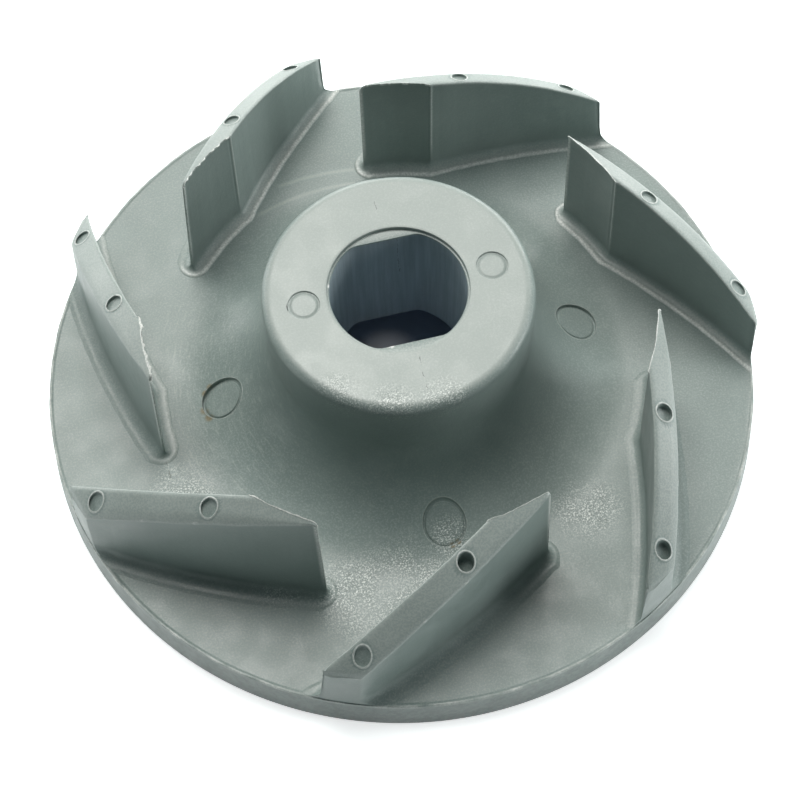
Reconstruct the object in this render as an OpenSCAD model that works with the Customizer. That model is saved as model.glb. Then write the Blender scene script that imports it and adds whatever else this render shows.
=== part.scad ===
// Semi-open centrifugal pump impeller, moulded in one piece.
// Origin at the centre of the back face, +Z along the shaft towards the blades.
// The flats of the shaft hole are parallel to X.

/* [Disc] */
// Diameter of the disc at its back edge
disc_d = 71.8; // [71.2:0.1:78]
// Thickness of the disc at its rim
rim_h = 3.8; // [3:0.1:5]
// How far the rim leans in from the back edge to the front edge
rim_lean = 0.4; // [0.1:0.05:0.5]

/* [Hub] */
// Diameter of the hub at its top face
hub_d = 25.8; // [23:0.1:28]
// Height of the hub's top face above the back face
hub_h = 19.6; // [16:0.1:24]
// Radius round the hub's top edge
hub_edge_r = 1; // [0.4:0.1:1.6]
// Height above the floor at which the flare leaves the hub's wall
flare_h = 9; // [6:0.5:11]
// Diameter of the faint crease where the flare runs out on the floor
flare_d = 46; // [40:0.5:46.5]

/* [Shaft hole] */
// Diameter of the round walls of the shaft hole
bore_d = 13; // [12:0.1:15]
// Distance across the two flats
flat_gap = 11.3; // [9:0.1:11.7]
// Radius of the corners between the flats and the round walls
flat_corner_r = 2; // [0.5:0.1:3]
// How much wider the round seat above the flats is than the hole, to each side
seat_ledge = 0.2; // [0.1:0.05:0.6]
// Depth of the round seat above the flats
seat_h = 0.4; // [0.2:0.1:1.5]
// Diameter of the recess in the back face
recess_d = 20; // [17:0.5:24]
// Depth of the recess in the back face
recess_h = 4.7; // [2:0.1:6]

/* [Blades] */
// Number of blades
blade_count = 7; // [5:1:8]
// Thickness of a blade at its top
blade_t = 2.3; // [1.6:0.1:3]
// Draft of a blade's faces, in degrees to each side
blade_draft = 0.5; // [0.2:0.1:1]
// Diameter of the circle that trims the leading ends
eye_d = 49; // [49:0.5:53]
// How far the outer ends stay back from the rim's front edge
end_inset = 0.1; // [0.1:0.1:2]
// Draft of the outer ends, in degrees
end_draft = 3.5; // [0.5:0.5:5]
// Angle of a blade's convex face to the circumference at the eye
inlet_angle = 13.6; // [10:0.2:18]
// Angle of a blade's convex face to the circumference at the outer end
outlet_angle = 38.6; // [34:0.2:42]
// Height of the blade tops above the back face, at the eye
blade_eye_h = 18.5; // [14:0.1:19]
// Radius of the ball that the blade tops lie on
crown_r = 50; // [45:0.5:60]
// Turn of the leading tip of the first blade from +X
first_tip = 33.6; // [0:0.2:51]
// Length by which the sharp leading tip is blunted
nose_cut = 0.3; // [0.3:0.1:1]
// Draft of the blunt leading tip, in degrees
nose_draft = 1.5; // [0.5:0.5:3]
// Radius at the foot of a blade's convex face
outer_root_r = 1.2; // [1.1:0.05:1.3]
// Radius at the foot of a blade's concave face
inner_root_r = 0.8; // [0.6:0.05:0.9]
// Radius at the foot of a blade's leading face
eye_root_r = 1.4; // [1.4:0.05:1.6]
// Radius at the foot of the blunt leading tip
nose_root_r = 1; // [0.95:0.05:1]
// Step at the toe of the root radii
root_step = 0.12; // [0.05:0.01:0.2]

/* [Ejector marks] */
// Diameter of the marks on the blade tops
blade_pin_d = 1.5; // [1:0.1:1.8]
// Distance of the inner marks on the blade tops from the axis
inner_pin_r = 27; // [26:0.1:29]
// Distance of the outer marks on the blade tops from the axis
outer_pin_r = 33.4; // [31:0.1:33.6]
// Diameter of the two marks on the hub's top face
hub_pin_d = 3; // [2:0.1:4]
// Distance of the marks on the hub from the axis
hub_pin_r = 9.1; // [8.8:0.1:9.8]
// Diameter of the four marks on the flare
flare_pin_d = 4.2; // [3:0.1:5]
// Distance of the marks on the flare from the axis
flare_pin_r = 18.3; // [17:0.1:20]
// Depth of the marks on the blade tops
blade_pin_depth = 0.4; // [0.1:0.1:1]
// Depth of the marks on the hub and the flare
body_pin_depth = 0.15; // [0.05:0.05:0.3]

/* [Hidden] */
$fn = 48;
// Facets of small arcs: the edge and root radii and the ejector marks
fine = 16;
// Facets of a full turn of the blades' long arcs
long = 110;

floor_z = rim_h;
disc_r = disc_d / 2;
hub_r = hub_d / 2;
eye_r = eye_d / 2;
// radius of the outer ends at the floor
end_r = disc_r - rim_lean - end_inset;
// depth at which the blades start inside the disc, so that they fuse with it
bury = rim_h / 2;
// length by which a cutting body passes the face that it cuts
over = 1;

// A circular arc that meets the eye circle at one angle and the end circle at another
arc_r = (end_r * end_r - eye_r * eye_r) / (2 * (end_r * cos(outlet_angle) - eye_r * cos(inlet_angle)));
// distance of that arc's centre from the axis, by the law of cosines
arc_centre = sqrt(arc_r * arc_r + end_r * end_r - 2 * arc_r * end_r * cos(outlet_angle));
// turn about the axis from the arc's centre to a point of an arc of radius r at the distance d
function turn_at(r, d) = acos((d * d + arc_centre * arc_centre - r * r) / (2 * d * arc_centre));
// turn about the arc's centre from the axis to a point at the distance d from the axis
function sweep_at(d) = acos((arc_r * arc_r + arc_centre * arc_centre - d * d) / (2 * arc_r * arc_centre));
tip_turn = turn_at(arc_r, eye_r);
// point of a blade's middle line at the distance d from the axis, with the leading tip at +X
function middle_turn(d) = turn_at(arc_r - blade_t / 2, d) - tip_turn;
function middle_at(d) = d * [cos(middle_turn(d)), sin(middle_turn(d)), 0];
// The nose is turned about the place of the outer ejector mark
nose_centre = middle_at(outer_pin_r);
nose_r = norm(nose_centre - [eye_r, 0, 0]) - nose_cut;
// Height of the step at the toes of the blades above the back face
toe_z = floor_z + root_step;
// How far a root radius cuts into the face above it, so that the two cross at a clear angle
root_bite = 0.01;
// distance of a root radius's centre from the place of its wall at the blade tops
function root_out(r, draft) = r - root_bite + (blade_eye_h - toe_z - r) * tan(draft);
// Height that the cutting bodies of a blade reach
clear_z = blade_eye_h + over;

// The crown ball's centre lies on the axis, below the back face
crown_z = blade_eye_h - sqrt(crown_r * crown_r - eye_r * eye_r);

// The flare is an arc that rises from the crease and ends steeply at the hub's wall
flare_run = flare_d / 2 - hub_r;
flare_r = (flare_run * flare_run + flare_h * flare_h) / (2 * flare_h);

// Half section of the disc, the flare and the hub
module body_section() {
    polygon([[0, 0], [disc_r, 0], [disc_r - rim_lean, rim_h], [0, rim_h]]);
    difference() {
        square([flare_d / 2, floor_z + flare_h]);
        translate([flare_d / 2, floor_z + flare_r]) circle(r = flare_r);
    }
    difference() {
        square([hub_r, hub_h]);
        translate([hub_r - hub_edge_r, hub_h - hub_edge_r]) difference() {
            square(hub_edge_r + over);
            circle(r = hub_edge_r, $fn = fine);
        }
    }
}

module body() {
    rotate_extrude() body_section();
}

// Section of a foot with its root radius, outside a wall that stands at that place at the blade tops
module root(place, r, draft) {
    centre = place + root_out(r, draft);
    difference() {
        translate([place - blade_t / 2, bury]) square([centre - place + blade_t / 2, toe_z + r - bury]);
        translate([centre, toe_z + r]) circle(r = r, $fn = fine);
    }
}

// Section of a blade across its length: drafted faces and a root radius on both sides
module blade_section() {
    low_spread = (blade_eye_h - bury) * tan(blade_draft);
    top_spread = -over * tan(blade_draft);
    polygon([
        [arc_r - blade_t - low_spread, bury],
        [arc_r + low_spread, bury],
        [arc_r + top_spread, clear_z],
        [arc_r - blade_t - top_spread, clear_z]
    ]);
    root(arc_r, outer_root_r, blade_draft);
    translate([2 * arc_r - blade_t, 0]) mirror([1, 0]) root(arc_r, inner_root_r, blade_draft);
}

// Half section of the ring that all the blades fill: a drafted outside and a root radius at the eye
module ring_section() {
    polygon([
        [eye_r, bury],
        [end_r + (floor_z - bury) * tan(end_draft), bury],
        [end_r - (clear_z - floor_z) * tan(end_draft), clear_z],
        [eye_r, clear_z]
    ]);
    translate([2 * eye_r, 0]) mirror([1, 0]) root(eye_r, eye_root_r, 0);
}

// The ball that the blade tops lie on, or that the marks on them reach down to
module crown(drop = 0) {
    translate([0, 0, crown_z - drop]) sphere(r = crown_r, $fn = long);
}

// Half section of the round body whose wall blunts the leading tip and gives it a root radius
module nose_section() {
    polygon([
        [0, bury],
        [nose_r + (blade_eye_h - bury) * tan(nose_draft), bury],
        [nose_r - over * tan(nose_draft), clear_z],
        [0, clear_z]
    ]);
    root(nose_r, nose_root_r, nose_draft);
}

// One blade with its leading tip at +X: the swept section, trimmed to the ring and at its nose
module blade() {
    finish = sweep_at(end_r + blade_t + over);
    intersection() {
        rotate([0, 0, -tip_turn]) translate([arc_centre, 0, 0])
            rotate([0, 0, 180 - finish]) rotate_extrude(angle = finish, $fn = long) blade_section();
        rotate_extrude() ring_section();
        crown();
        translate(nose_centre) rotate_extrude($fn = long) nose_section();
    }
}

module every_blade() {
    for (i = [0 : blade_count - 1]) rotate([0, 0, first_tip + i * 360 / blade_count]) children();
}

module blade_marks() {
    difference() {
        every_blade() for (d = [inner_pin_r, outer_pin_r])
            translate(middle_at(d) + [0, 0, toe_z]) cylinder(d = blade_pin_d, h = blade_eye_h, $fn = fine);
        crown(blade_pin_depth);
    }
}

module body_marks() {
    difference() {
        union() {
            for (side = [-1, 1]) translate([side * hub_pin_r, 0, hub_h - over])
                cylinder(d = hub_pin_d, h = 2 * over, $fn = fine);
            for (turn = [0 : 90 : 270]) rotate([0, 0, turn]) translate([flare_pin_r, 0, rim_h])
                cylinder(d = flare_pin_d, h = flare_h, $fn = fine);
        }
        translate([0, 0, -body_pin_depth]) body();
    }
}

// Outline of the shaft hole: two round walls, two flats and a radius at each of the four corners
module hole_outline() {
    corner_y = flat_gap / 2 - flat_corner_r;
    corner_x = sqrt(pow(bore_d / 2 - flat_corner_r, 2) - corner_y * corner_y);
    fan = bore_d / corner_x;
    square([2 * corner_x, flat_gap], center = true);
    for (side = [-1, 1]) {
        intersection() {
            circle(d = bore_d);
            polygon([[0, 0], side * fan * [corner_x, corner_y], side * fan * [corner_x, -corner_y]]);
        }
        for (end = [-1, 1]) translate([side * corner_x, end * corner_y]) circle(r = flat_corner_r);
    }
}

// The hole for the shaft, the round seat above it and the recess behind it
module shaft_hole() {
    translate([0, 0, -over]) linear_extrude(hub_h + 2 * over) hole_outline();
    translate([0, 0, hub_h - seat_h]) cylinder(r = bore_d / 2 + seat_ledge, h = seat_h + over);
    translate([0, 0, -over]) cylinder(d = recess_d, h = recess_h + over);
}

module impeller() {
    color([0.42, 0.46, 0.43]) difference() {
        union() {
            body();
            every_blade() blade();
        }
        blade_marks();
        body_marks();
        shaft_hole();
    }
}

impeller();
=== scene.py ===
import math
from typing import NamedTuple

import bmesh
import bpy
import numpy as np
from mathutils import Matrix, Vector


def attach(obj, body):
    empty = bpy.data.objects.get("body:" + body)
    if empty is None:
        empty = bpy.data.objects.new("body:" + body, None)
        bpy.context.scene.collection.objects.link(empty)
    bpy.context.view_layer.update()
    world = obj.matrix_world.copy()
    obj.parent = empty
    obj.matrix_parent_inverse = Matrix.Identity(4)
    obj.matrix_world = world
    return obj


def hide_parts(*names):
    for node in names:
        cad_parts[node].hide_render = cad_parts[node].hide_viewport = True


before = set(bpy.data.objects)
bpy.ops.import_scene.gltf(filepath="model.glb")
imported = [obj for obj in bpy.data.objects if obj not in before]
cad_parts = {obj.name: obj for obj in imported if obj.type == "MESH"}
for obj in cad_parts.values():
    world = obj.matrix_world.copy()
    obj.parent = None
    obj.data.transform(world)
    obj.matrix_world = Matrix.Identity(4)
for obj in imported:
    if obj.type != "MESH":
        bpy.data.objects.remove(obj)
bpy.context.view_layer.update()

scene = bpy.context.scene
scene.view_settings.view_transform = "Standard"

# A millimetre in metres
MM = 0.001

# Sizes of the impeller in mm, and its angles, as in the CAD
DISC_R = 35.9
RIM_H = 3.8
RIM_LEAN = 0.4
HUB_R = 12.9
HUB_H = 19.6
HUB_EDGE_R = 1.0
FLARE_H = 9.0
FLARE_END_R = 23.0
BORE_R = 6.5
HALF_FLAT = 5.65
FLAT_CORNER_R = 2.0
SEAT_R = 6.7
SEAT_H = 0.4
RECESS_R = 10.0
RECESS_H = 4.7
BLADE_T = 2.3
BLADE_DRAFT = math.tan(math.radians(0.5))
EYE_R = 24.5
END_GAP = 0.1
END_R = DISC_R - RIM_LEAN - END_GAP
END_DRAFT = math.tan(math.radians(3.5))
INLET_ANGLE = math.radians(13.6)
OUTLET_ANGLE = math.radians(38.6)
EYE_H = 18.5
CROWN_R = 50.0
FIRST_TIP = 33.6
ROOT_STEP = 0.12

FLARE_RUN = FLARE_END_R - HUB_R
FLARE_R = (FLARE_RUN ** 2 + FLARE_H ** 2) / (2 * FLARE_H)
CROWN_Z = EYE_H - math.sqrt(CROWN_R ** 2 - EYE_R ** 2)
ARC_R = (END_R ** 2 - EYE_R ** 2) / (2 * (END_R * math.cos(OUTLET_ANGLE) - EYE_R * math.cos(INLET_ANGLE)))
ARC_CENTRE = math.sqrt(ARC_R ** 2 + END_R ** 2 - 2 * ARC_R * END_R * math.cos(OUTLET_ANGLE))


def waves(x, seed, scale):
    """Smooth repeatable noise from about -1 to 1 along x: seven sines with seeded lengths and phases."""
    draw = np.random.default_rng(seed)
    total = np.zeros_like(np.asarray(x, float))
    for octave in range(7):
        length = scale * 0.62 ** octave * draw.uniform(0.8, 1.25)
        total += 0.72 ** octave * np.sin(2 * math.pi * np.asarray(x) / length + draw.uniform(0, 2 * math.pi))
    return total / 2.2


def ring_waves(turn, seed, lobes):
    """The same round a ring, without a seam, with about so many lobes at least."""
    draw = np.random.default_rng(seed)
    total = np.zeros_like(np.asarray(turn, float))
    for octave in range(6):
        times = round(lobes * 1.6 ** octave * draw.uniform(0.9, 1.2))
        total += 0.75 ** octave * np.sin(times * np.asarray(turn) + draw.uniform(0, 2 * math.pi))
    return total / 2.2


def smooth_step(x, low, high):
    """0 up to low, 1 from high, and a smooth rise between."""
    t = np.clip((np.asarray(x, float) - low) / (high - low), 0, 1)
    return t * t * (3 - 2 * t)


class Shell:
    """The points and faces of one closed piece, in mm, with how pale each point is painted, for flash and
    painted highlights.
    """

    def __init__(self):
        self.points = []
        self.pale_and_highlight = []
        self.faces = []

    def add(self, points, pale_and_highlight=0.0):
        """Adds points and returns their numbers."""
        first = len(self.points)
        count = len(points)
        self.points.extend(np.asarray(points, float).tolist())
        self.pale_and_highlight.extend(np.broadcast_to(pale_and_highlight, count).tolist())
        return list(range(first, first + count))

    def plan(self, numbers):
        """The points with these numbers, seen from above."""
        return np.array([self.points[i][:2] for i in numbers])

    def join(self, a, b):
        """Faces between two closed rings with as many points each."""
        for i in range(len(a)):
            j = (i + 1) % len(a)
            self.faces.append((a[i], a[j], b[j], b[i]))

    def mark(self, border, middle, profile, height, pale_and_highlight=0.0, tilt=(0, 0), torn=0.0):
        """Fills a hole in the surface with a round mark.

        The profile lists distances from the middle and heights over the surface.
        The floor of the mark leans by tilt, and torn makes its lip uneven.
        """
        around = self.plan(border) - middle
        turn = np.unwrap(np.arctan2(around[:, 1], around[:, 0]))
        # the rays to the border go round one way and keep a least angle between them
        least = 0.004
        way = math.copysign(1, turn[-1] - turn[0])
        steps = least * np.arange(len(border))
        turn = way * (np.maximum.accumulate(way * turn - steps) + steps)
        out = np.hypot(around[:, 0], around[:, 1])
        uneven = torn * ring_waves(turn, 3, 3)
        last = border
        first_r = profile[0][0]
        rings = [(out + (first_r - out) * 0.5, 0.0)]
        rings += [(np.full(len(border), r), rise) for r, rise in profile]
        for r, rise in rings:
            if rise:
                r = r + 0.08 * uneven
            xy = middle + np.c_[r * np.cos(turn), r * np.sin(turn)]
            z = height(xy) + rise
            if rise > 0:
                z = z + 2.5 * rise * np.abs(uneven)
            if rise < 0:
                z = z + (xy - middle) @ np.array(tilt)
            ring = self.add(np.c_[xy, z], pale_and_highlight=pale_and_highlight if rise > 0 else 0.0)
            self.join(last, ring)
            last = ring
        z = height(np.array([middle]))[0] + profile[-1][1]
        centre = self.add([[middle[0], middle[1], z]])[0]
        for i in range(len(last)):
            self.faces.append((last[i], last[(i + 1) % len(last)], centre))

    def build(self, name, material, sharp=35):
        """Makes the Blender object, in metres, on the impeller's body."""
        mesh = bpy.data.meshes.new(name)
        mesh.from_pydata((np.array(self.points) * MM).tolist(), [], self.faces)
        work = bmesh.new()
        work.from_mesh(mesh)
        bmesh.ops.recalc_face_normals(work, faces=work.faces)
        if work.calc_volume(signed=True) < 0:
            bmesh.ops.reverse_faces(work, faces=work.faces)
        work.to_mesh(mesh)
        work.free()
        layer = mesh.attributes.new("pale_and_highlight", "FLOAT", "POINT")
        layer.data.foreach_set("value", np.array(self.pale_and_highlight, np.float32))
        mesh.shade_smooth()
        mesh.set_sharp_from_angle(angle=math.radians(sharp))
        mesh.materials.append(material)
        piece = bpy.data.objects.new(name, mesh)
        scene.collection.objects.link(piece)
        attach(piece, "root")
        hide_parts("impeller")


def body_height(xy):
    """Height of the hub's top, the flare and the floor at points in plan."""
    r = np.hypot(xy[:, 0], xy[:, 1])
    rise = FLARE_R - np.sqrt(np.maximum(FLARE_R ** 2 - np.maximum(FLARE_END_R - r, 0) ** 2, 0))
    return np.where(r < HUB_R, HUB_H, RIM_H + rise)


def on_body(x, y):
    """The place on the body's upper side over a point in plan."""
    return (x, y, float(body_height(np.array([[x, y]]))[0]))


def hole_radius(turn):
    """Distance from the axis to the wall of the shaft hole: round walls, flats and rounded corners."""
    a = np.abs((np.asarray(turn) + math.pi / 2) % math.pi - math.pi / 2)
    corner_out = BORE_R - FLAT_CORNER_R
    corner_y = HALF_FLAT - FLAT_CORNER_R
    corner_x = math.sqrt(corner_out ** 2 - corner_y ** 2)
    corner_turn = math.atan2(corner_y, corner_x)
    flat_turn = math.atan2(HALF_FLAT, corner_x)
    off = a - corner_turn
    beside = corner_out * np.sin(off)
    bend = corner_out * np.cos(off) + np.sqrt(np.maximum(FLAT_CORNER_R ** 2 - beside ** 2, 0))
    flat = HALF_FLAT / np.maximum(np.sin(a), 0.1)
    return np.where(a <= corner_turn, BORE_R, np.where(a <= flat_turn, bend, flat))


def body_columns():
    """Angles of the body's columns, closer together where the marks are."""
    near, fine, coarse = 12, 0.4, 0.825
    turns = []
    for middle in (0, 90, 180, 270):
        turns += list(np.arange(middle - near, middle + near, fine))
        turns += list(np.arange(middle + near, middle + 90 - near, coarse))
    return np.radians(np.array(turns))


# The rim's raised lip: how far out from the rim's upper corner and how far above the floor
RIM_LIP = ((-0.5, 0), (-0.36, 0.01), (-0.26, 0.07), (-0.12, 0.1), (-0.02, 0.06), (0.02, -0.06), (0.02, -0.3))


def body_rows():
    """Radius and height of the body's rows, from the seat over hub, flare, floor and rim to the recess."""
    rows = [(SEAT_R, HUB_H - SEAT_H + 0.04), (SEAT_R, HUB_H - 0.1)]
    rows += [(SEAT_R + 0.03, HUB_H - 0.03), (SEAT_R + 0.1, HUB_H)]
    rows += [(r, HUB_H) for r in np.arange(SEAT_R + 0.3, HUB_R - HUB_EDGE_R, 0.25)]
    for a in np.radians(np.arange(0, 91, 11.25)):
        rows.append((HUB_R - HUB_EDGE_R * (1 - math.sin(a)), HUB_H - HUB_EDGE_R * (1 - math.cos(a))))
    rows += [(HUB_R, z) for z in np.linspace(HUB_H - HUB_EDGE_R - 0.6, RIM_H + FLARE_H + 0.6, 7)]
    run = np.r_[0, 0.02, 0.06, 0.12, 0.2, 0.32, 0.48, 0.68, 0.92, np.arange(1.2, FLARE_RUN, 0.25), FLARE_RUN]
    for r in HUB_R + run:
        rows.append((r, RIM_H + FLARE_R - math.sqrt(FLARE_R ** 2 - (FLARE_END_R - r) ** 2)))
    rows += [(r, RIM_H) for r in np.arange(FLARE_END_R + 0.4, DISC_R - 1.0, 0.5)]
    rows += [(DISC_R - RIM_LEAN + out, RIM_H + up) for out, up in RIM_LIP]
    rows += [(DISC_R - RIM_LEAN * z / RIM_H, z) for z in (3.0, 2.2, 1.4, 0.7, 0.25)]
    rows += [(DISC_R - 0.04, 0.08), (DISC_R - 0.14, 0)]
    rows += [(r, 0.0) for r in np.linspace(DISC_R - 1.4, RECESS_R + 0.4, 6)]
    rows += [(RECESS_R + 0.12, 0), (RECESS_R + 0.03, 0.04), (RECESS_R, 0.14), (RECESS_R, 1.5)]
    rows += [(RECESS_R, 3.0), (RECESS_R, RECESS_H - 0.3), (RECESS_R - 0.1, RECESS_H - 0.08)]
    rows += [(RECESS_R - inset, RECESS_H) for inset in (0.3, 1.4, 2.4)]
    return rows


class BodyMark(NamedTuple):
    """A round mark on the body: its place and radius, how deep it is, and how its floor leans."""
    place: tuple
    r: float
    depth: float
    tilt: tuple = (0, 0)
    on_hub: bool = False


BODY_MARKS = (
    BodyMark((-8.96, 0.33), 1.5, 0.1, on_hub=True),
    BodyMark((9.12, 0.27), 1.5, 0.1, on_hub=True),
    BodyMark((-18.2, 0.3), 2.1, 0.25, (0.08, -0.06)),
    BodyMark((18.45, 0.3), 2.1, 0.2, (-0.05, -0.03)),
    BodyMark((0.0, -18.15), 2.1, 0.2, (0.0, 0.01)),
    BodyMark((0.0, 18.3), 2.1, 0.2),
)

# How far the body's grid stays away from a mark, in mm
MARK_MARGIN = 0.28

# Where the rim has a small bump of flash, in degrees, and its width in radians
RIM_BUMP = -153.4
RIM_BUMP_WIDTH = 0.012


def make_body(material):
    """The disc, the flare, the hub and the shaft hole as one closed turned surface."""
    shell = Shell()
    turns = body_columns()
    rows = body_rows()
    across = np.c_[np.cos(turns), np.sin(turns)]
    columns = len(turns)
    from_bump = (turns - math.radians(RIM_BUMP) + math.pi) % (2 * math.pi) - math.pi
    bump = np.exp(-(from_bump / RIM_BUMP_WIDTH) ** 2)
    grid = []
    for r, z in rows:
        ring_r = np.full(columns, r)
        ring_z = np.full(columns, z)
        pale_and_highlight = 0.0
        # the rim's lip is painted pale in patches, as pale flash and painted highlight
        if abs(r - (DISC_R - RIM_LEAN)) < 0.2 and z > RIM_H - 0.1:
            ring_r += 0.03 * ring_waves(turns, 5, 23) + 0.12 * bump
            ring_z += 0.035 * ring_waves(turns, 6, 31) + 0.12 * bump
            pale_and_highlight = np.clip(0.4 + 0.4 * ring_waves(turns, 7, 37) + bump, 0, 1)
        grid.append(shell.add(np.c_[across * ring_r[:, None], ring_z], pale_and_highlight=pale_and_highlight))
    hole = hole_radius(turns)
    hole_rows = [(0.12, RECESS_H), (0.03, RECESS_H + 0.03), (0.0, RECESS_H + 0.12)]
    hole_rows += [(0.0, z) for z in np.linspace(5.6, HUB_H - SEAT_H - 0.3, 12)]
    hole_rows += [(0.0, HUB_H - SEAT_H - 0.08), (0.03, HUB_H - SEAT_H - 0.02), (0.08, HUB_H - SEAT_H)]
    for out, z in hole_rows:
        grid.append(shell.add(np.c_[across * (hole + out)[:, None], np.full(columns, z)]))
    # the seat's inner edge is painted a little pale: a painted highlight on its rounded edge
    grid.append(shell.add(np.c_[across * (SEAT_R - 0.03), np.full(columns, HUB_H - SEAT_H)], pale_and_highlight=0.3))

    radii = np.array([r for r, z in rows])
    on_hub = [i for i, (r, z) in enumerate(rows) if z == HUB_H]
    on_flare = [i for i, (r, z) in enumerate(rows) if HUB_R + 1 < r < 24 and z > RIM_H]
    skipped = set()
    blocks = []
    for mark in BODY_MARKS:
        r = math.hypot(*mark.place)
        turn = math.atan2(mark.place[1], mark.place[0])
        half = mark.r + MARK_MARGIN
        inside = [i for i in (on_hub if mark.on_hub else on_flare) if abs(radii[i] - r) < half]
        r0, r1 = min(inside), max(inside)
        off = (turns - turn + math.pi) % (2 * math.pi) - math.pi
        near = [j for j in range(columns) if abs(off[j]) * r < half]
        near.sort(key=lambda j: off[j])
        for i in range(r0, r1):
            for j in near[:-1]:
                skipped.add((i, j))
        border = [grid[r0][j] for j in near]
        border += [grid[i][near[-1]] for i in range(r0 + 1, r1 + 1)]
        border += [grid[r1][j] for j in reversed(near[:-1])]
        border += [grid[i][near[0]] for i in range(r1 - 1, r0, -1)]
        blocks.append((border, mark))
    for i in range(len(grid)):
        a = grid[i]
        b = grid[(i + 1) % len(grid)]
        for j in range(columns):
            if (i, j) not in skipped:
                k = (j + 1) % columns
                shell.faces.append((a[j], a[k], b[k], b[j]))
    for border, mark in blocks:
        r, deep = mark.r, mark.depth
        lip = 0.0 if mark.on_hub else 0.015
        profile = ((r + 0.1, 0.0), (r + 0.04, lip), (r, -0.5 * deep), (r - 0.04, -1.5 * deep),
                   (r - 0.2, -1.6 * deep), (r - 0.3, -0.9 * deep), (r - 0.45, -0.8 * deep),
                   (r * 0.5, -0.8 * deep))
        shell.mark(border, np.array(mark.place), profile, body_height, pale_and_highlight=0.5, tilt=mark.tilt)
    shell.build("disc_and_hub", material, sharp=40)


def circles_meet(c1, r1, c2, r2, side):
    """Where two circles meet, on one side of the line between their centres."""
    line = np.asarray(c2) - np.asarray(c1)
    gap = math.hypot(*line)
    along = line / gap
    across = np.array([-along[1], along[0]])
    step = (r1 ** 2 - r2 ** 2 + gap ** 2) / (2 * gap)
    rise = np.sqrt(np.maximum(r1 ** 2 - step ** 2, 0))
    return np.asarray(c1) + step[:, None] * along + side * rise[:, None] * across


def bearing(points, centre):
    """Directions from a centre to points in plan."""
    d = points - centre
    return np.arctan2(d[:, 1], d[:, 0])


def on_circle(centre, r, turn):
    """Points of a circle in plan."""
    return centre + np.c_[r * np.cos(turn), r * np.sin(turn)]


def turn_at(r, d):
    """Turn about the axis from the blade arc's centre to a point of an arc of radius r at the distance d."""
    return math.acos((d * d + ARC_CENTRE ** 2 - r * r) / (2 * d * ARC_CENTRE))


# Plan of a blade with its leading tip at +X
AXIS = np.array([0.0, 0.0])
TIP_TURN = turn_at(ARC_R, EYE_R)
BLADE_ARC = ARC_CENTRE * np.array([math.cos(TIP_TURN), -math.sin(TIP_TURN)])


def middle_at(d):
    """Point of a blade's middle line at a distance from the axis."""
    turn = turn_at(ARC_R - BLADE_T / 2, d) - TIP_TURN
    return d * np.array([math.cos(turn), math.sin(turn)])


# The circle that ends the tip: its centre is on the blade's middle line and it reaches the sharp corner
NOSE_CENTRE_AT = 33.4
NOSE_CENTRE = middle_at(NOSE_CENTRE_AT)
NOSE_R = math.hypot(*(NOSE_CENTRE - np.array([EYE_R, 0])))

# Distances of the pin marks from the axis, and how far the top's grid stays away from a mark's middle
MARK_RS = (27.04, 33.5)
MARK_CLEAR = 0.97

# Radii of the top's small edge, of its concave side and of its outer end
EDGE_R = 0.13
CONCAVE_EDGE_R = 0.4
END_EDGE_R = 0.35

# How far the long sides of the top fall, as a share of their radius
SIDE_FALL = 0.42

# The ridge at the crease, the groove beside it, and the painted highlights along the edges of the tip
RIDGE_WIDTH = 0.09
GROOVE_OFF = 0.26
GROOVE_WIDTH = 0.1
TIP_EDGE_WIDTH = 0.28

# How much the corner between the concave side and the outer end is rounded, and over what length
END_ROUND = 0.16
END_ROUND_WIDTH = 0.5

# How far under the top the walls end, and how far a blade reaches down into the disc
TOP_BAND = 0.32
SUNK = 0.5

# Rows round a blade's top edge: angle of the small radius, and how far out and up the flash reaches
TOP_EDGE_ROWS = ((0, 0.1, -0.25), (25, 0.8, -0.1), (50, 1.0, -0.02), (70, 0.9, 0.05), (90, 0.3, 0.05))

# Points along a blade, those of them on the facet cut by the eye circle, and steps across the top
ALONG = 130
ALONG_FACET = 51
ACROSS_STEPS = np.array((0, 0.03, 0.07, 0.13, 0.22, 0.35, 0.5, 0.65, 0.78, 0.87, 0.93, 0.97, 1))
ACROSS = len(ACROSS_STEPS) - 1

# Direction away from the axis at the middle of the facet
OUTWARD = np.array([math.cos(math.radians(-8)), math.sin(math.radians(-8))])

# Kinds of points round a blade
CONVEX, END, CONCAVE, FACET, NOSE = range(5)


def eased(count):
    """Steps from 0 to 1, closer together at both ends."""
    t = np.linspace(0, 1, count + 1)
    return t - 0.6 * np.sin(2 * math.pi * t) / (2 * math.pi)


class Blade(NamedTuple):
    """What differs from blade to blade, in mm and degrees.

    reach_top and reach_foot say how far the tip reaches past the sharp corner of the plan. eye_r is the
    radius of the facet, which facet_turn turns about the tip. flash is the lip along the facet's upper edge,
    and teeth says how ragged it is. foot_out is how far the foot stands out from under the top, away from
    the axis, and root_highlight is how strong the painted highlight is where the root meets the floor.
    end_draft is the slope of the outer end. tip_r and edge_r round the top at the tip and along the convex
    side. The depths are those of the pin marks, and torn makes the inner one's lip uneven. bead is the
    height of the bead at the foot, 1 being the usual one.
    """
    number: int
    reach_top: float
    reach_foot: float
    eye_r: float
    facet_turn: float = 0.0
    flash: float = 0.2
    teeth: float = 0.15
    foot_out: float = 0.7
    root_highlight: float = 0.2
    end_draft: float = END_DRAFT
    tip_r: float = 0.4
    edge_r: float = 0.6
    inner_depth: float = 0.35
    outer_depth: float = 0.35
    torn: float = 0.0
    bead: float = 1.0


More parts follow.
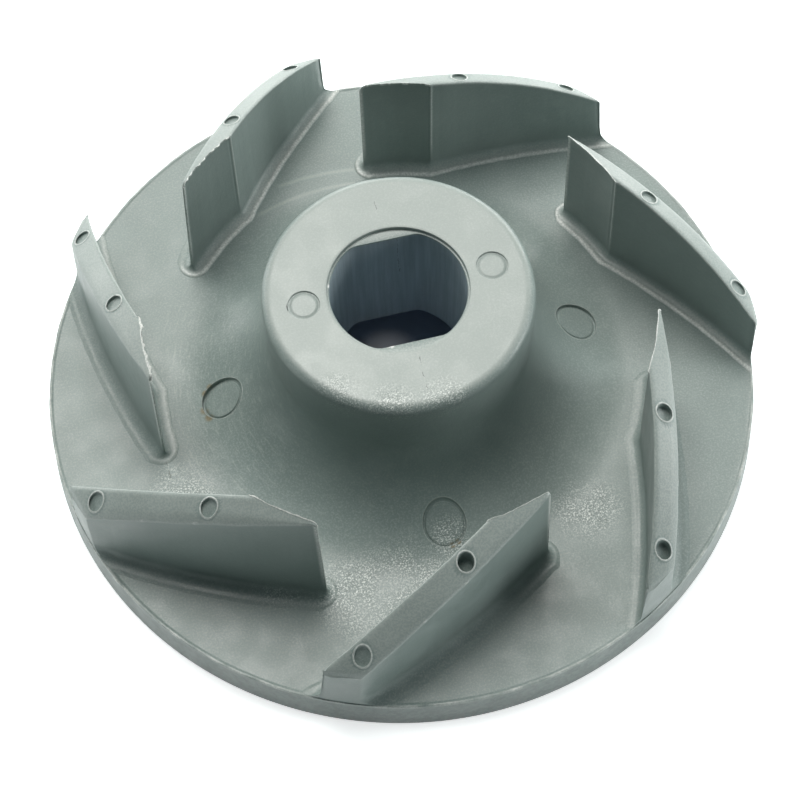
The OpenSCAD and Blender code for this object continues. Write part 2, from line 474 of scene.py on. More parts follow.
BLADES = (
    Blade(2, -0.40, 0.75, 24.39, facet_turn=3.4, flash=0.24, teeth=0.9, foot_out=0.45, root_highlight=1.0,
          end_draft=0.035, tip_r=0.6),
    Blade(1, 0.35, 0.35, 24.38, facet_turn=1.0, flash=0.07, teeth=0.9, foot_out=0.45, root_highlight=0.9, tip_r=0.9),
    Blade(0, -0.10, 0.15, 24.49, facet_turn=0.5, flash=0.22, teeth=0.1, foot_out=1.0, root_highlight=1.0, tip_r=0.15),
    Blade(6, -0.10, 0.62, 24.42, foot_out=0.8, root_highlight=0.1, tip_r=0.08, inner_depth=0.7, outer_depth=0.9,
          bead=0.2),
    Blade(5, -0.40, 0.40, 24.38, flash=0.08, teeth=0.05, foot_out=0.1, root_highlight=0.1, inner_depth=1.5, bead=0.5),
    Blade(4, 0.00, 0.65, 24.42, foot_out=0.9, root_highlight=0.1, tip_r=0.7, edge_r=0.8, torn=0.3, bead=0.6),
    Blade(3, -0.10, 0.62, 24.42, flash=0.46, teeth=0.3, foot_out=0.85, root_highlight=0.5, torn=0.2, bead=0.4),
)


def loop_round(cells):
    """The corners of a grid round a patch of its cells, in order."""
    edges = set()
    for i, j in cells:
        corners = ((i, j), (i + 1, j), (i + 1, j + 1), (i, j + 1))
        edges |= set(zip(corners, corners[1:] + corners[:1]))
    following = {a: b for a, b in sorted(edges) if (b, a) not in edges}
    corner = min(following)
    loop = []
    while corner not in loop:
        loop.append(corner)
        corner = following[corner]
    return loop


def make_blade(index, material):
    """One blade: walls along circles in plan, a root radius with a bead, and a top with two pin marks."""
    blade = BLADES[index]
    seed = 100 + 10 * index
    shell = Shell()
    turned = math.radians(blade.facet_turn)
    facet = EYE_R * np.array([1 - math.cos(turned), -math.sin(turned)])
    inner = np.r_[eased(ALONG_FACET), 1 + eased(ALONG - ALONG_FACET)[1:]][::-1]
    cross = ACROSS_STEPS[1:-1]
    kind = np.r_[np.full(ALONG + 1, CONVEX), np.full(ACROSS - 1, END), np.where(inner >= 1, CONCAVE, FACET),
                 np.full(ACROSS - 1, NOSE)]
    step = np.r_[eased(ALONG), cross, np.where(inner >= 1, inner - 1, inner), cross]
    count = len(kind)

    def outline(z, f, below=0.0):
        """Plan of the walls at the height z, so far below the top, and moved out by f, point by point."""
        lean = (EYE_H - z) * BLADE_DRAFT
        outer_r = ARC_R + lean
        inner_r = ARC_R - BLADE_T - lean
        facet_r = blade.eye_r - lean
        end_r = END_R - (z - RIM_H) * blade.end_draft
        share = np.clip((EYE_H - z) / (EYE_H - RIM_H), 0, 1.1)
        nose_r = NOSE_R + blade.reach_top + (blade.reach_foot - blade.reach_top) * share
        tip_out = circles_meet(BLADE_ARC, outer_r, NOSE_CENTRE, nose_r, 1)
        tip_in = circles_meet(facet, facet_r, NOSE_CENTRE, nose_r, 1)
        end_out = circles_meet(BLADE_ARC, outer_r + f, AXIS, end_r, -1)
        end_in = circles_meet(BLADE_ARC, inner_r - f, AXIS, end_r, -1)
        crease_at = circles_meet(BLADE_ARC, inner_r - f, facet, facet_r - f, -1)

        def run(centre, r, a, b):
            start = bearing(a, centre)
            return on_circle(centre, r, start + step * (bearing(b, centre) - start))

        round_tip = math.pi + step * (INLET_ANGLE - math.pi)
        faces = {
            CONVEX: run(BLADE_ARC, outer_r + f, tip_out, end_out),
            END: run(AXIS, end_r, end_out, end_in),
            CONCAVE: run(BLADE_ARC, inner_r - f, crease_at, end_in),
            FACET: run(facet, facet_r - f, tip_in, crease_at),
            NOSE: tip_in + step[:, None] * (tip_out - tip_in) + on_circle(AXIS, f, round_tip),
        }
        xy = np.zeros((count, 2))
        for k, points in faces.items():
            xy[kind == k] = points[kind == k]
        xy = xy + OUTWARD * np.reshape(below * blade.foot_out / (EYE_H - RIM_H), (-1, 1))
        for _ in range(4):
            xy = 0.5 * xy + 0.25 * np.roll(xy, 1, 0) + 0.25 * np.roll(xy, -1, 0)
        return xy

    def height(xy):
        """Height of the top: the crown ball with rounded corners and edges."""
        z = CROWN_Z + np.sqrt(CROWN_R ** 2 - np.hypot(*xy.T) ** 2)
        from_arc = np.hypot(*(xy - BLADE_ARC).T)
        to_convex = ARC_R - from_arc
        to_concave = from_arc - ARC_R + BLADE_T
        to_facet = np.hypot(*(xy - facet).T) - blade.eye_r
        to_nose = NOSE_R + blade.reach_top - np.hypot(*(xy - NOSE_CENTRE).T)
        to_end = END_R - (z - RIM_H) * blade.end_draft - np.hypot(*xy.T)
        width = np.clip((to_convex + np.minimum(to_facet, to_concave)) / BLADE_T, 0.05, 1)
        for distance, corner in ((to_nose, blade.tip_r), (to_end, END_EDGE_R)):
            q = np.clip(corner - distance, 0, corner)
            z = z - (corner - np.sqrt(corner ** 2 - q ** 2))
        for distance, corner in ((to_convex, blade.edge_r * width), (to_concave, CONCAVE_EDGE_R * width)):
            z = z - SIDE_FALL * np.clip(corner - distance, 0, corner) ** 2 / corner
        return z

    def blend_along(convex, end, concave, facet_value, nose, passes=40):
        """A value for each face, blended where the faces meet."""
        v = np.array((convex, end, concave, facet_value, nose), float)[kind]
        for _ in range(passes):
            v = 0.5 * v + 0.25 * np.roll(v, 1) + 0.25 * np.roll(v, -1)
        return v

    # the top's plan and its height depend on each other, so they are worked out in turns from a guess
    zero = np.zeros(count)
    top_z = np.full(count, 15.0)
    for _ in range(5):
        top_xy = outline(top_z, zero)
        top_z = height(top_xy)
    tangent = np.roll(top_xy, -1, 0) - np.roll(top_xy, 1, 0)
    tangent /= np.hypot(*tangent.T)[:, None]
    normal = np.c_[-tangent[:, 1], tangent[:, 0]]
    length = np.cumsum(np.r_[0, np.hypot(*np.diff(top_xy, axis=0).T)])

    # a ridge at the crease with a groove beside it, and the two edges of the tip, which get painted
    # highlights along with the ridge
    tip_out_at = 0
    tip_in_at = 2 * ALONG + ACROSS
    crease = tip_in_at - ALONG_FACET
    ridge = np.exp(-((length - length[crease]) / RIDGE_WIDTH) ** 2)
    groove = np.exp(-((length - length[crease] - GROOVE_OFF) / GROOVE_WIDTH) ** 2)
    from_tip = np.minimum(length - length[tip_out_at], np.abs(length - length[tip_in_at]))
    tip_edge = np.exp(-(from_tip / TIP_EDGE_WIDTH) ** 4)

    # the concave end corner is rounded
    end_in_at = ALONG + ACROSS
    end_round = END_ROUND * np.exp(-((length - length[end_in_at]) / END_ROUND_WIDTH) ** 2)

    root = blend_along(1.2, 1.0, 0.85, 0.95, 0.5)
    bead_w = blend_along(0.6, 0.1, 0.6, 0.65, 0.5)
    bead_h = blade.bead * blend_along(0.0, 0.0, 0.06, 0.07, 0.05)
    # a painted highlight along the bead at the root, where the fillet would catch the light
    bead_highlight = blade.root_highlight * blend_along(0.2, 0.0, 0.9, 1.0, 0.8)
    bead_h = bead_h * (1 + 0.35 * waves(length, seed, 1.3))
    wobble = 0.02 * waves(length, seed + 1, 7.0)
    toe_wobble = 0.05 * waves(length, seed + 2, 3.0)
    rows = []

    def add_row(z, f, pale_and_highlight=0.0, push=0.0, rise=0.0, on_top=False):
        """A row round the blade: its height, how far it lies out, and small shifts out and up."""
        grown = np.clip((z - RIM_H) / 2, 0, 1)
        below = np.maximum(top_z - z, 0)
        xy = outline(z, f, below) + normal * ((push + wobble) * (kind != END) - grown * end_round)[:, None]
        end_r = END_R - (z - RIM_H) * blade.end_draft
        xy = xy * np.minimum(1, end_r / np.hypot(*xy.T))[:, None]
        level = height(xy) if on_top else z
        rows.append(shell.add(np.c_[xy, level + rise], pale_and_highlight=pale_and_highlight))

    add_row(np.full(count, RIM_H - SUNK), root + bead_w)
    for u in (1.0, 0.9, 0.75, 0.6, 0.45, 0.3, 0.15, 0.0):
        bell = math.sin(math.pi * u) ** 2
        low = ROOT_STEP * (1 - smooth_step(u, 0, 1)) - (0.02 if u == 1.0 else 0.0)
        pale_and_highlight = bead_highlight * math.sin(math.pi * min(1, u + 0.1)) ** 0.7
        add_row(np.full(count, RIM_H + low), root + u * bead_w + toe_wobble, pale_and_highlight=pale_and_highlight, rise=bead_h * bell)
    for a in np.radians(np.arange(9, 91, 9)):
        f = root * (1 - math.sin(a)) + toe_wobble * math.cos(a)
        add_row(RIM_H + ROOT_STEP + root * (1 - math.cos(a)), f, pale_and_highlight=0.3 * bead_highlight * math.cos(a) ** 4)
    start = RIM_H + ROOT_STEP + root
    stop = top_z - TOP_BAND
    sharp_line = 0.05 * ridge - 0.04 * groove
    for v in np.linspace(0, 1, 13)[1:]:
        grow = min(1.0, v * 4)
        # painted highlights on the crease's ridge and along the tip's edges
        pale_and_highlight = np.clip(0.6 * ridge + 0.9 * tip_edge, 0, 1) * grow
        add_row(start + v * (stop - start), zero, pale_and_highlight=pale_and_highlight, push=sharp_line * grow)

    # the top edge: a small radius, and flash where the moulds met, both painted pale: paler flash and a
    # painted highlight along the edge
    steady = 0.75 + 0.3 * waves(length, seed + 3, 6.0)
    ragged = np.clip(0.3 + 1.2 * waves(length, seed + 4, 1.9), 0, 1.8)
    nibble = np.clip(waves(length, seed + 5, 5.0) - 0.5, 0, 1)
    lip = blade.flash * blend_along(0, 0, 0, 1, 0.6, passes=10)
    lip = lip * ((1 - blade.teeth) * steady + blade.teeth * ragged)
    lip = lip + 0.07 * blend_along(1, 0, 0.5, 0, 0) * nibble
    weight = smooth_step(lip, 0.01, 0.06)
    for a, lip_out, lip_z in TOP_EDGE_ROWS:
        inset = 1 - math.cos(math.radians(a))
        drop = 1 - math.sin(math.radians(a))
        push = weight * lip * lip_out - (1 - weight) * EDGE_R * inset
        rise = weight * lip_z - (1 - weight) * EDGE_R * drop
        pale_and_highlight = np.clip(weight * 1.1 + 0.25, 0, 1)
        add_row(top_z, zero, pale_and_highlight=pale_and_highlight, push=push + sharp_line, rise=rise, on_top=True)
    for low, high in zip(rows, rows[1:]):
        shell.join(low, high)

    # the cap: a grid between the convex side and the inner side, with two pin marks
    ring = rows[-1]
    out_side = ring[:ALONG + 1]
    end_side = ring[ALONG:ALONG + ACROSS + 1]
    in_side = ring[ALONG + ACROSS:tip_in_at + 1][::-1]
    nose_side = [ring[0]] + ring[tip_in_at + 1:][::-1] + [ring[tip_in_at]]
    share = ACROSS_STEPS[None, :, None]
    lines = shell.plan(out_side)[:, None] * (1 - share) + shell.plan(in_side)[:, None] * share
    s = np.linspace(0, 1, ALONG + 1)[:, None, None]
    plan = lines + (1 - s) * (shell.plan(nose_side) - lines[0])[None]
    plan = plan + s * (shell.plan(end_side) - lines[-1])[None]
    grid = np.zeros((ALONG + 1, ACROSS + 1), int)
    grid[:, 0] = out_side
    grid[:, ACROSS] = in_side
    grid[0] = nose_side
    grid[ALONG] = end_side
    inside = plan[1:-1, 1:-1].reshape(-1, 2)
    # the top's inner points are painted a little pale: painted light on the blade tops
    numbers = shell.add(np.c_[inside, height(inside)], pale_and_highlight=0.2)
    grid[1:-1, 1:-1] = np.reshape(numbers, (ALONG - 1, ACROSS - 1))
    skipped = set()
    blocks = []
    for mark_r, depth, torn in zip(MARK_RS, (blade.inner_depth, blade.outer_depth), (blade.torn, 0.0)):
        place = middle_at(mark_r)
        close = np.hypot(*(plan - place).transpose(2, 0, 1)) < MARK_CLEAR
        cells = {(i, j) for i in range(ALONG) for j in range(ACROSS) if close[i:i + 2, j:j + 2].any()}
        skipped |= cells
        border = [grid[corner] for corner in loop_round(cells)]
        blocks.append((border, place, depth, torn))
    for i in range(ALONG):
        for j in range(ACROSS):
            if (i, j) not in skipped:
                shell.faces.append((grid[i, j], grid[i + 1, j], grid[i + 1, j + 1], grid[i, j + 1]))
    for border, place, depth, torn in blocks:
        profile = ((0.92, 0.0), (0.87, 0.035), (0.81, 0.05), (0.77, 0.03), (0.745, -0.05),
                   (0.72, -0.9 * depth), (0.66, -depth), (0.3, -depth))
        shell.mark(border, place, profile, height, pale_and_highlight=0.65, torn=torn)

    # the hidden underside
    low = rows[0]
    under_out = low[:ALONG + 1]
    under_in = low[ALONG + ACROSS:tip_in_at + 1][::-1]
    for i in range(ALONG):
        shell.faces.append((under_out[i], under_in[i], under_in[i + 1], under_out[i + 1]))
    shell.faces.append(tuple(low[ALONG:ALONG + ACROSS + 1]))
    shell.faces.append(tuple(low[tip_in_at:]) + (low[0],))

    turn = math.radians(FIRST_TIP + blade.number * 360 / len(BLADES))
    points = np.array(shell.points)
    x = points[:, 0] * math.cos(turn) - points[:, 1] * math.sin(turn)
    y = points[:, 0] * math.sin(turn) + points[:, 1] * math.cos(turn)
    shell.points = np.c_[x, y, points[:, 2]].tolist()
    shell.build("blade_%d" % (index + 1), material)


class Nodes:
    """Short names for the nodes of one material. Places and sizes are in mm."""

    def __init__(self, name):
        self.material = bpy.data.materials.new(name)
        self.material.use_nodes = True
        self.tree = self.material.node_tree
        self.shader = self.tree.nodes["Principled BSDF"]
        metres = self.tree.nodes.new("ShaderNodeTexCoord").outputs["Object"]
        self.place = self.vector("SCALE", metres, scale=1 / MM)

    def set(self, socket, value):
        """Links another node's output to the socket, or gives the socket a fixed value."""
        if isinstance(value, bpy.types.NodeSocket):
            self.tree.links.new(value, socket)
        else:
            socket.default_value = value

    def math(self, operation, a, b=0.0, clamp=False):
        node = self.tree.nodes.new("ShaderNodeMath")
        node.operation = operation
        node.use_clamp = clamp
        self.set(node.inputs[0], a)
        self.set(node.inputs[1], b)
        return node.outputs[0]

    def vector(self, operation, a, b=(0, 0, 0), scale=1.0):
        node = self.tree.nodes.new("ShaderNodeVectorMath")
        node.operation = operation
        self.set(node.inputs[0], a)
        self.set(node.inputs[1], b)
        if operation == "SCALE":
            self.set(node.inputs["Scale"], scale)
        return node.outputs["Value" if operation in ("DOT_PRODUCT", "DISTANCE") else "Vector"]

    def times(self, a, b):
        return self.math("MULTIPLY", a, b)

    def combine(self, x, y):
        """A place in a plane of other coordinates."""
        node = self.tree.nodes.new("ShaderNodeCombineXYZ")
        self.set(node.inputs[0], x)
        self.set(node.inputs[1], y)
        return node.outputs[0]

    def noise(self, size, detail, rough, at=None, stretch=(1, 1, 1)):
        """Noise from 0 to 1 with lumps of about this size."""
        node = self.tree.nodes.new("ShaderNodeTexNoise")
        node.inputs["Scale"].default_value = 1 / size
        node.inputs["Detail"].default_value = detail
        node.inputs["Roughness"].default_value = rough
        self.set(node.inputs["Vector"], self.vector("MULTIPLY", at or self.place, stretch))
        return node.outputs["Fac"]

    def ramp(self, value, low, high, to_low=0.0, to_high=1.0):
        """to_low up to the value low, to_high from the value high, and a smooth change between."""
        node = self.tree.nodes.new("ShaderNodeMapRange")
        node.interpolation_type = "SMOOTHSTEP"
        self.set(node.inputs["Value"], value)
        node.inputs["From Min"].default_value = low
        node.inputs["From Max"].default_value = high
        node.inputs["To Min"].default_value = to_low
        node.inputs["To Max"].default_value = to_high
        return node.outputs["Result"]

    def between(self, value, low, high, soft):
        """1 where the value lies between low and high, and 0 from so far outside."""
        rise = self.ramp(value, low - soft, low)
        fall = self.ramp(value, high, high + soft, 1, 0)
        return self.times(rise, fall)

    def near(self, place, reach):
        """1 at a place and 0 from so far away."""
        return self.ramp(self.vector("DISTANCE", self.place, place), 0.3 * reach, reach, 1, 0)

    def wavy_place(self):
        """The place moved a little to and fro by noise, so that straight lines turn wavy."""
        noise = self.tree.nodes.new("ShaderNodeTexNoise")
        noise.inputs["Scale"].default_value = 1.6
        self.set(noise.inputs["Vector"], self.place)
        shift = self.vector("SUBTRACT", noise.outputs["Color"], (0.5, 0.5, 0.5))
        return self.vector("ADD", self.place, self.vector("SCALE", shift, scale=0.5))

    def stroke(self, place, a, b, width):
        """1 on the line from a to b, and 0 from so far beside it."""
        run = np.subtract(b, a)
        from_a = self.vector("SUBTRACT", place, a)
        along = self.vector("DOT_PRODUCT", from_a, tuple(run))
        share = self.math("DIVIDE", along, float(run @ run), clamp=True)
        nearest = self.vector("SCALE", tuple(run), scale=share)
        return self.ramp(self.vector("DISTANCE", from_a, nearest), 0.3 * width, width, 1, 0)

    def most(self, values):
        """The largest of several values."""
        total = values[0]
        for value in values[1:]:
            total = self.math("MAXIMUM", total, value)
        return total

    def mix(self, share, a, b):
        node = self.tree.nodes.new("ShaderNodeMix")
        node.data_type = "RGBA"
        self.set(node.inputs["Factor"], share)
        self.set(node.inputs["A"], a)
        self.set(node.inputs["B"], b)
        return node.outputs["Result"]

    def painted(self, name):
        """A value stored at the mesh's points."""
        node = self.tree.nodes.new("ShaderNodeAttribute")
        node.attribute_name = name
        return node.outputs["Fac"]


# Hairlines where the plastic flowed together: from, to and half width in mm
HAIRLINES = (
    (on_body(0.16, -7.6), on_body(0.12, -9.5), 0.07),
    (on_body(0.12, -9.5), on_body(0.11, -11.3), 0.06),
    (on_body(0.0, 9.0), on_body(0.0, 9.9), 0.06),
    ((22.1, 8.8, 3.9), (22.8, 9.4, 3.9), 0.12),
    (on_body(-24.86, -4.7), on_body(-24.88, -6.5), 0.08),
    ((1.2, 5.65, 19.0), (1.35, 5.65, 13.0), 0.06),
)

# White flecks and ochre stains: place and reach in mm
FLECKS = (((-6.14, 1.96, 19.2), 0.35), ((-11.9, -0.1, 14.0), 0.3), ((-2.0, -5.5, 19.2), 0.5))
STAINS = ((on_body(-20.2, -0.2), 0.6), (on_body(-19.9, -1.1), 0.6), (on_body(-19.8, 1.6), 0.5),
          (on_body(-19.2, 2.1), 0.5), (on_body(0.3, -20.15), 0.4), (on_body(0.9, -19.95), 0.4))

# Zones of painted glints, where light glitters on glass fibres in the skin, with darker speckles between
# them: place and reach in mm
GLINT_ZONES = ((on_body(-9.4, -22.8), 6.0), (on_body(-4.5, -22.5), 5.5), (on_body(0.3, -19.5), 3.0),
               (on_body(14.0, -19.5), 4.5), (on_body(-24.0, -8.5), 4.5), (on_body(-16.0, -19.0), 4.5),
               ((-8.0, -9.9, 19.3), 3.5), ((-3.5, -12.3, 19.3), 3.5), ((1.5, -12.7, 19.3), 3.5))

# Faint bright arcs on the disc's floor: radius in mm and angle in degrees, at both ends
ARCS = ((25.6, 106, 24.75, 89), (23.8, 115, 23.0, 90))

# Colours of the plastic, of what lies on it, and of painted light and shade
BASE_DARK = (0.190, 0.243, 0.230, 1)
BASE_LIGHT = (0.225, 0.280, 0.265, 1)
PATCH = (0.265, 0.32, 0.305, 1)
GRAIN_AND_GLINT = (0.40, 0.45, 0.43, 1)
HUB_TOP_LIGHT = (0.46, 0.50, 0.47, 1)
RIM_WALL = (0.12, 0.14, 0.13, 1)
GLINT_SPECKLE_DARK = (0.10, 0.12, 0.11, 1)
PAINTED_GLINT = (0.72, 0.76, 0.73, 1)
STREAK = (0.45, 0.49, 0.46, 1)
SCRATCH = (0.50, 0.54, 0.51, 1)
HOLE_REFLECTION_DARK = (0.34, 0.42, 0.46, 1)
HOLE_REFLECTION_LIGHT = (0.43, 0.52, 0.57, 1)
OCHRE = (0.20, 0.14, 0.05, 1)
CRACK = (0.05, 0.06, 0.055, 1)
FLECK = (0.75, 0.77, 0.75, 1)
PALE_AND_HIGHLIGHT = (0.70, 0.73, 0.70, 1)


def plastic_material():
    """Grey-green moulded plastic: cloudy colour, fine grain, flow marks, stains, pale flash and painted
    highlights.
    """
    n = Nodes("plastic")
    split = n.tree.nodes.new("ShaderNodeSeparateXYZ")
    n.set(split.inputs[0], n.place)
    x, y, z = split.outputs
    r = n.math("SQRT", n.math("ADD", n.times(x, x), n.times(y, y)))
    turn = n.times(n.math("ARCTAN2", y, x), 180 / math.pi)

    cloud = n.noise(14, 4, 0.55)
    patch = n.noise(3, 3, 0.6)
    grain = n.noise(0.19, 2, 0.6)
    base = n.mix(n.ramp(cloud, 0.3, 0.7), BASE_DARK, BASE_LIGHT)
    base = n.mix(n.ramp(patch, 0.45, 0.75, 0, 0.45), base, PATCH)
    facing = n.tree.nodes.new("ShaderNodeSeparateXYZ")
    n.set(facing.inputs[0], n.tree.nodes.new("ShaderNodeNewGeometry").outputs["Normal"])
    pale_and_highlight = n.painted("pale_and_highlight")
    # light grain, painted stronger on faces turned up and weaker where pale: real grain with painted glints
    # on the upward faces
    upward = n.ramp(facing.outputs["Z"], 0.3, 0.9, 0.3, 1)
    level = n.times(upward, n.ramp(pale_and_highlight, 0.05, 0.2, 1, 0.3))
    base = n.mix(n.times(n.ramp(grain, 0.42, 0.72, 0, 0.36), level), base, GRAIN_AND_GLINT)

    # painted light: the hub's flat top is painted paler than the rest
    hub_top_light = n.times(n.ramp(z, HUB_H - 0.3, HUB_H), n.ramp(r, HUB_R - 0.7, HUB_R + 0.1, 1, 0))
    base = n.mix(n.times(hub_top_light, 0.4), base, HUB_TOP_LIGHT)
    # the rim's outer wall is darker in uneven patches
    wall = n.times(n.ramp(r, DISC_R - 0.6, DISC_R - RIM_LEAN), n.ramp(z, RIM_H - 0.4, RIM_H - 0.1, 1, 0))
    mottled = n.ramp(n.noise(0.5, 3, 0.6), 0.35, 0.65, 0, 0.45)
    base = n.mix(n.times(wall, mottled), base, RIM_WALL)

    # painted glints where light glitters on the fibres, with darker speckles between them
    glint_zone = n.most([n.near(place, reach) for place, reach in GLINT_ZONES])
    glint_zone = n.times(n.times(glint_zone, level), n.ramp(patch, 0.35, 0.6, 0.35, 1))
    glitter = n.noise(0.15, 2, 0.7)
    bright = n.times(n.ramp(glitter, 0.53, 0.63), glint_zone)
    dull = n.times(n.ramp(glitter, 0.36, 0.48, 1, 0), glint_zone)
    base = n.mix(n.times(dull, 0.5), base, GLINT_SPECKLE_DARK)
    base = n.mix(n.times(bright, 0.95), base, PAINTED_GLINT)

    polar = n.combine(n.times(turn, 0.05), r)
    streaks = n.ramp(n.noise(0.25, 2, 0.6, at=polar), 0.5, 0.75)
    on_left = n.times(n.ramp(n.math("ABSOLUTE", turn), 130, 160), n.between(r, 14, 24, 2))
    base = n.mix(n.times(n.times(streaks, on_left), 0.3), base, STREAK)

    lines = []
    for r0, turn0, r1, turn1 in ARCS:
        slope = (r1 - r0) / (turn1 - turn0)
        target = n.math("ADD", n.times(n.math("SUBTRACT", turn, turn0), slope), r0)
        close = n.ramp(n.math("ABSOLUTE", n.math("SUBTRACT", r, target)), 0.0, 0.4, 1, 0)
        lines.append(n.times(close, n.between(turn, min(turn0, turn1), max(turn0, turn1), 2)))
    scratched = n.combine(r, n.times(turn, 0.06))
    scratches = n.ramp(n.noise(0.35, 2, 0.5, at=scratched), 0.62, 0.74)
    lines.append(n.times(scratches, n.near(on_body(24.5, 11.5), 7.0)))
    base = n.mix(n.times(n.most(lines), 0.25), base, SCRATCH)

    # the shaft hole's wall is painted bluish with vertical streaks: painted reflection and a bluish painted
    # shade tint
    under_seat = n.ramp(z, HUB_H - SEAT_H - 0.2, HUB_H - SEAT_H - 0.05, 1, 0)
    in_hole = n.times(n.ramp(r, BORE_R + 0.05, BORE_R + 0.15, 1, 0), under_seat)
    reflection_streaks = n.ramp(n.noise(0.4, 3, 0.6, stretch=(1, 1, 0.04)), 0.35, 0.7)
    hole_wall_reflection = n.mix(reflection_streaks, HOLE_REFLECTION_DARK, HOLE_REFLECTION_LIGHT)
    base = n.mix(n.times(in_hole, 0.8), base, hole_wall_reflection)

    stain = n.most([n.near(place, reach) for place, reach in STAINS])
    stain = n.times(stain, n.ramp(patch, 0.35, 0.6, 0.6, 1.0))
    base = n.mix(stain, base, OCHRE)
    wavy = n.wavy_place()
    hairline = n.most([n.stroke(wavy, a, b, width) for a, b, width in HAIRLINES])
    base = n.mix(n.times(hairline, 0.6), base, CRACK)
    fleck = n.most([n.near(place, reach) for place, reach in FLECKS])
    base = n.mix(n.times(fleck, n.ramp(grain, 0.4, 0.5)), base, FLECK)
    # the painted values: paler flash, and painted highlights on edges, bead, seat and blade tops
    pale_and_highlight = n.times(pale_and_highlight, n.ramp(grain, 0.4, 0.6, 0.6, 1.0))
    base = n.mix(pale_and_highlight, base, PALE_AND_HIGHLIGHT)

    n.set(n.shader.inputs["Base Color"], base)
    n.set(n.shader.inputs["Roughness"], n.ramp(patch, 0.3, 0.7, 0.33, 0.46))
    bump = n.tree.nodes.new("ShaderNodeBump")
    bump.inputs["Strength"].default_value = 0.5
    bump.inputs["Distance"].default_value = 0.04 * MM
    n.set(bump.inputs["Height"], n.math("ADD", n.noise(0.55, 3, 0.6), n.times(grain, 0.6)))
    n.set(n.shader.inputs["Normal"], bump.outputs[0])
    return n.material


def spin(v, degrees):
    """The vector v turned about Z."""
    a = math.radians(degrees)
    return Vector((v[0] * math.cos(a) - v[1] * math.sin(a), v[0] * math.sin(a) + v[1] * math.cos(a), v[2]))


def make_camera():
    """The photo's camera, as fitted to the impeller's circles and blades."""
    turn = -12.0
    elevation = math.radians(62.933)
    roll = math.radians(-1.717)
    distance = 0.17631
    aim = Vector((-0.000153, -0.003674, 0.0038))
    ahead = Vector((0, math.cos(elevation), -math.sin(elevation)))
    level = Vector((0, math.sin(elevation), math.cos(elevation)))
    right = math.cos(roll) * Vector((1, 0, 0)) + math.sin(roll) * level
    up = -math.sin(roll) * Vector((1, 0, 0)) + math.cos(roll) * level
    place = spin(aim - distance * ahead, turn)
    right, up, back = spin(right, turn), spin(up, turn), spin(-ahead, turn)
    data = bpy.data.cameras.new("camera")
    data.sensor_width = 36.0
    data.lens = 79.06
    data.clip_start = 0.01
    data.clip_end = 10.0
    cam = bpy.data.objects.new("camera", data)
    m = Matrix((right, up, back)).transposed().to_4x4()
    m.translation = place
    cam.matrix_world = m
    scene.collection.objects.link(cam)
    scene.camera = cam


# Half the floor's width in m, its dark bluish painted shade under the impeller, and its colour outside it
FLOOR_HALF = 6.0
FLOOR_UNDER_SHADE = (0.30, 0.36, 0.50, 1)
FLOOR_WHITE = (0.83, 0.9, 0.9, 1)

# How much of the floor's white near the impeller is its own, so that the shadow on it stays faint
FLOOR_GLOW = 0.64

# Where a painted pool of light glows faintly on the floor at the bottom of the shaft hole, in mm, how far
# and how strongly
HOLE_GLEAM = (-0.6, 3.4, 0.0)
GLEAM_REACH = 4.0
GLEAM_STRENGTH = 0.06


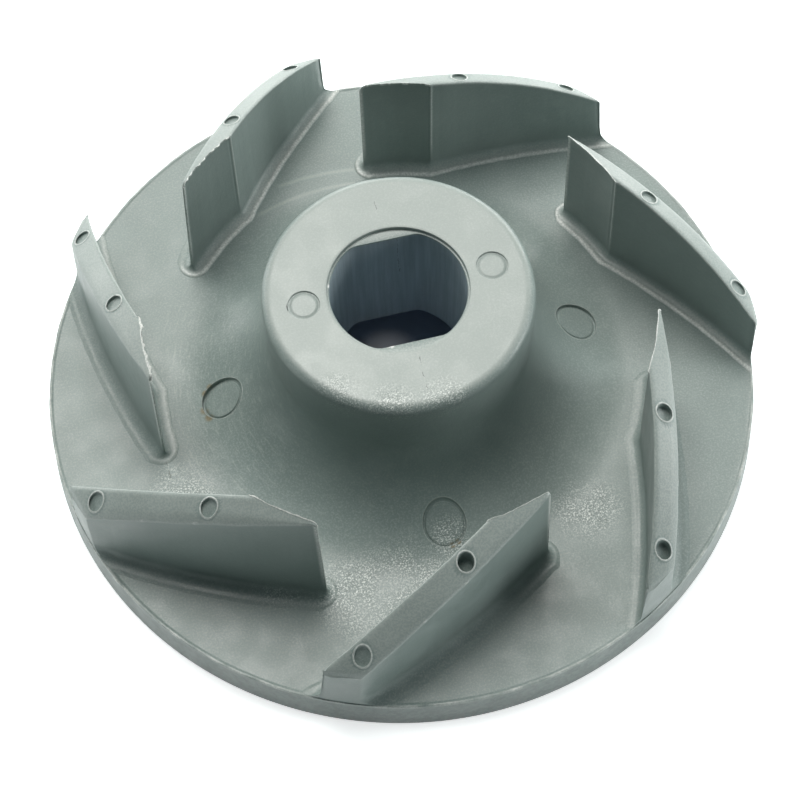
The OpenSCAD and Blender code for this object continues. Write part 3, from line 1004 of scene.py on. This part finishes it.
def make_floor():
    """A floor that looks white and keeps a faint shadow."""
    mesh = bpy.data.meshes.new("floor")
    corners = [(x * FLOOR_HALF, y * FLOOR_HALF, 0) for x, y in ((-1, -1), (1, -1), (1, 1), (-1, 1))]
    mesh.from_pydata(corners, [], [(0, 1, 2, 3)])
    floor = bpy.data.objects.new("floor", mesh)
    scene.collection.objects.link(floor)
    n = Nodes("floor")
    distance = n.vector("DISTANCE", n.place, (0, 0, 0))
    # under the impeller the floor is painted dark bluish, as painted shade seen through the shaft hole
    outside = n.ramp(distance, 22, 34)
    n.set(n.shader.inputs["Base Color"], n.mix(outside, FLOOR_UNDER_SHADE, FLOOR_WHITE))
    n.shader.inputs["Roughness"].default_value = 0.8
    rays = n.tree.nodes.new("ShaderNodeLightPath")
    seen = n.most([rays.outputs[name] for name in ("Is Camera Ray", "Is Glossy Ray", "Is Transmission Ray")])
    n.shader.inputs["Emission Color"].default_value = (1, 1, 1, 1)
    # a painted pool of light on the floor under the shaft hole
    gleam = n.times(n.near(HOLE_GLEAM, GLEAM_REACH), GLEAM_STRENGTH)
    far = n.ramp(distance, 200, 600, FLOOR_GLOW, 1)
    own = n.math("ADD", n.times(outside, far), gleam)
    n.set(n.shader.inputs["Emission Strength"], n.times(seen, own))
    mesh.materials.append(n.material)


# Lamps: azimuth and elevation in degrees, size in m, power in W and colour
LAMPS = (
    (95, 68, 0.36, 3.3, (1.0, 0.975, 0.94)),
    (45, 12, 0.30, 1.7, (1.0, 0.99, 0.97)),
    (90, 12, 0.30, 1.3, (1.0, 0.99, 0.97)),
    (135, 12, 0.30, 1.2, (1.0, 0.99, 0.97)),
    (0, 38, 0.30, 0.5, (0.95, 0.98, 1.0)),
    (-14, 14, 0.25, 1.4, (0.99, 0.99, 0.98)),
    (165, 50, 0.30, 0.3, (0.93, 0.98, 1.0)),
)
LAMP_DISTANCE = 0.6

# Light of the room
ROOM_COLOUR = (0.4, 0.85, 1.0, 1)
ROOM_STRENGTH = 0.02


def make_light():
    """Windows behind the object, weak light from both sides, and a faint room."""
    world = bpy.data.worlds.new("world")
    scene.world = world
    world.use_nodes = True
    background = world.node_tree.nodes["Background"]
    background.inputs["Color"].default_value = ROOM_COLOUR
    background.inputs["Strength"].default_value = ROOM_STRENGTH
    for number, (azimuth, elevation, size, power, colour) in enumerate(LAMPS):
        data = bpy.data.lights.new("lamp_%d" % (number + 1), "AREA")
        data.energy = power
        data.size = size
        data.color = colour
        lamp = bpy.data.objects.new(data.name, data)
        a = math.radians(elevation)
        lamp.location = spin((LAMP_DISTANCE * math.cos(a), 0, LAMP_DISTANCE * math.sin(a)), azimuth)
        lamp.rotation_euler = lamp.location.to_track_quat("Z", "Y").to_euler()
        scene.collection.objects.link(lamp)


make_camera()
make_light()
make_floor()
plastic = plastic_material()
make_body(plastic)
for blade_index in range(len(BLADES)):
    make_blade(blade_index, plastic)
